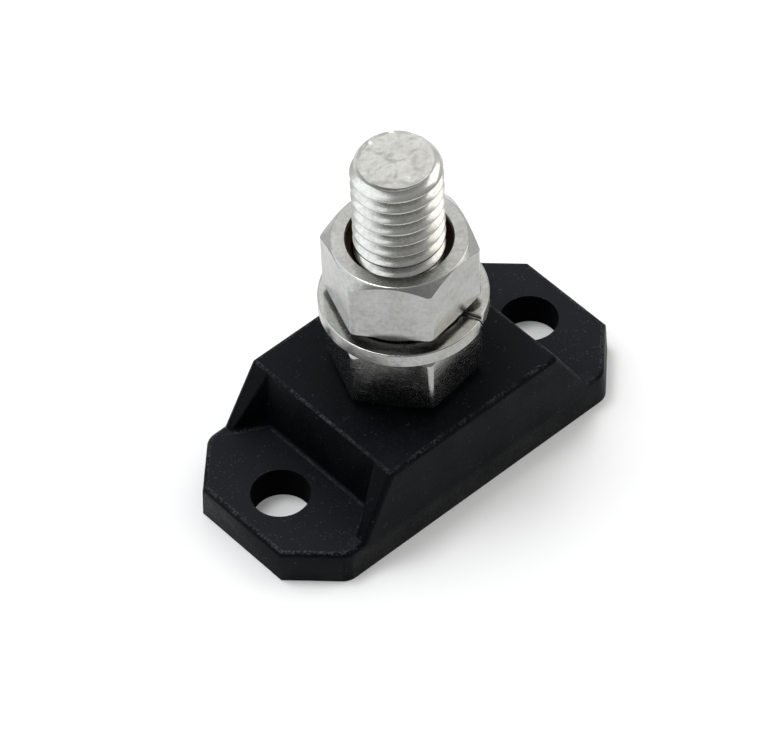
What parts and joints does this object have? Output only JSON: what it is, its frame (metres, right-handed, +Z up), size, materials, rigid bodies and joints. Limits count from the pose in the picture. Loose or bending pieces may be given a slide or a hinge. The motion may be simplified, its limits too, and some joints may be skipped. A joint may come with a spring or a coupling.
{
  "type": "battery terminal post",
  "caption": "Black moulded base with a screw flange at each end and an upright threaded stud, carrying a fixed clamp nut, a split lock washer and a terminal nut for a cable lug.",
  "frame": {"origin": "on the stud's axis, in the plane of the base's underside", "axes": "+X along the base through both screw holes, +Y across the base, +Z up the stud towards its free end"},
  "size_m": [0.0462, 0.0222, 0.0412],
  "materials": {
    "black_plastic": "fine-grained satin black glass-filled nylon",
    "stud_steel": "bright rolled stainless steel",
    "nut_steel": "satin stainless steel",
    "washer_steel": "polished stainless steel"
  },
  "bodies": {
    "post": {"base": "black_plastic", "stud": "stud_steel", "clamp_nut": "nut_steel"},
    "washer": {"lock_washer": "washer_steel"},
    "nut": {"terminal_nut": "nut_steel"}
  },
  "joints": [
    {"name": "terminal_nut_turn", "type": "hinge", "parent": "post", "child": "washer", "pos_m": [0, 0, 0.0206], "axis": [0, 0, 1], "range_deg": [0, 4320]},
    {"name": "terminal_nut_travel", "type": "slide", "parent": "washer", "child": "nut", "axis": [0, 0, 1], "range_m": [0, 0.0191]}
  ],
  "couplings": [
    {"joint": "terminal_nut_travel", "follows": "terminal_nut_turn", "m_per_rad": 0.00025266}
  ]
}
